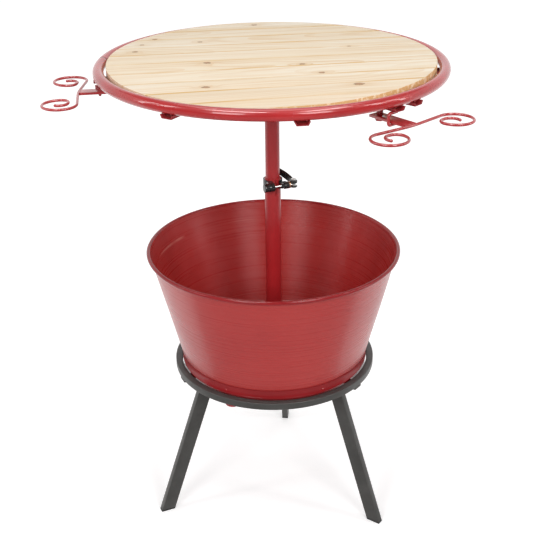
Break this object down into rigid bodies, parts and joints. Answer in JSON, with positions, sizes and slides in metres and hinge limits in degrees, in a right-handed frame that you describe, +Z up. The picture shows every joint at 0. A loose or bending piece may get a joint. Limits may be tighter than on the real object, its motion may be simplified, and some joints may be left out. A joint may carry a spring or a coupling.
{
  "type": "patio party table",
  "caption": "Round slatted bar table on a telescoping clamped pole, with a drinks tub on a three-legged stand and swing-out wire glass holders.",
  "frame": {"origin": "on the floor, on the axis of the pole", "axes": "+Z up along the pole, -Y the front that faces the viewer, +X to the viewer's right"},
  "size_m": [0.6854, 0.7234, 0.866],
  "materials": {
    "red_paint": "gloss red powder coat",
    "charcoal_paint": "satin charcoal powder coat",
    "gloss_black": "gloss black enamel",
    "bright_steel": "bright plated steel",
    "copper_washer": "copper-toned plating",
    "pine": "oiled knotty pine",
    "black_plastic": "moulded matte plastic",
    "red_plastic": "moulded red plastic",
    "seal_rubber": "soft matte rubber"
  },
  "bodies": {
    "stand": {"stand_ring": "charcoal_paint", "stand_straps": "charcoal_paint", "stand_hub": "charcoal_paint", "leg_right": "charcoal_paint", "leg_left": "charcoal_paint", "leg_rear": "charcoal_paint", "feet": "black_plastic", "tub_wall": "red_paint", "tub_floor_pan": "red_paint", "tub_rivets": "red_paint", "drain_pipe": "red_plastic", "drain_gasket": "seal_rubber", "drain_nut": "red_plastic", "pole_foot_plate": "red_paint", "lower_tube": "red_paint", "foot_plate_bolts": "bright_steel", "foot_plate_nuts": "bright_steel", "clamp_band": "gloss_black", "clamp_draw_bolt": "bright_steel", "clamp_washers": "copper_washer", "clamp_cam_pin": "bright_steel"},
    "slider": {"guide_bush": "black_plastic"},
    "top": {"upper_tube": "red_paint", "hub_plate": "red_paint", "table_rim": "red_paint", "table_arm_1": "red_paint", "table_arm_2": "red_paint", "table_arm_3": "red_paint", "table_arm_4": "red_paint", "table_arm_5": "red_paint", "table_arm_6": "red_paint", "table_arm_7": "red_paint", "table_arm_8": "red_paint", "table_arm_9": "red_paint", "board_1": "pine", "board_2": "pine", "board_3": "pine", "board_4": "pine", "board_5": "pine", "board_6": "pine", "board_7": "pine", "board_8": "pine", "board_9": "pine", "board_10": "pine", "board_screws": "bright_steel", "holder_strap_right": "red_paint", "holder_strap_left": "red_paint", "holder_strap_rear": "red_paint", "pivot_posts": "red_paint", "pivot_nuts": "red_paint", "rest_hooks": "red_paint"},
    "holder_right": {"holder_arm_right": "red_paint", "glass_wire_right": "red_paint"},
    "holder_left": {"holder_arm_left": "red_paint", "glass_wire_left": "red_paint"},
    "holder_rear": {"holder_arm_rear": "red_paint", "glass_wire_rear": "red_paint"},
    "clamp_lever": {"clamp_lever": "gloss_black"},
    "clamp_nut": {"clamp_nut": "gloss_black"},
    "drain_cap": {"drain_cap": "red_plastic"}
  },
  "joints": [
    {"name": "height_slide", "type": "slide", "parent": "stand", "child": "slider", "axis": [0, 0, 1], "range_m": [-0.11, 0.15]},
    {"name": "top_turn", "type": "hinge", "parent": "slider", "child": "top", "pos_m": [0, 0, 0.411], "axis": [0, 0, 1], "continuous": true},
    {"name": "holder_right_swing", "type": "hinge", "parent": "top", "child": "holder_right", "pos_m": [0.1652, -0.19687, 0.822], "axis": [0, 0, 1], "range_deg": [0, 180]},
    {"name": "holder_left_swing", "type": "hinge", "parent": "top", "child": "holder_left", "pos_m": [-0.25418, -0.03799, 0.822], "axis": [0, 0, 1], "range_deg": [0, 180]},
    {"name": "holder_rear_swing", "type": "hinge", "parent": "top", "child": "holder_rear", "pos_m": [0.0879, 0.2415, 0.822], "axis": [0, 0, 1], "range_deg": [0, 180]},
    {"name": "clamp_lever_swing", "type": "hinge", "parent": "stand", "child": "clamp_lever", "pos_m": [0.03698, -0.00878, 0.641], "axis": [0, 0, 1], "range_deg": [-150, 0]},
    {"name": "clamp_nut_turn", "type": "hinge", "parent": "stand", "child": "clamp_nut", "pos_m": [0.00824, -0.0204, 0.641], "axis": [0.9272, 0.3746, 0], "continuous": true},
    {"name": "drain_cap_turn", "type": "hinge", "parent": "stand", "child": "drain_cap", "pos_m": [-0.07717, -0.11441, 0.262], "axis": [0, 0, 1], "continuous": true}
  ]
}
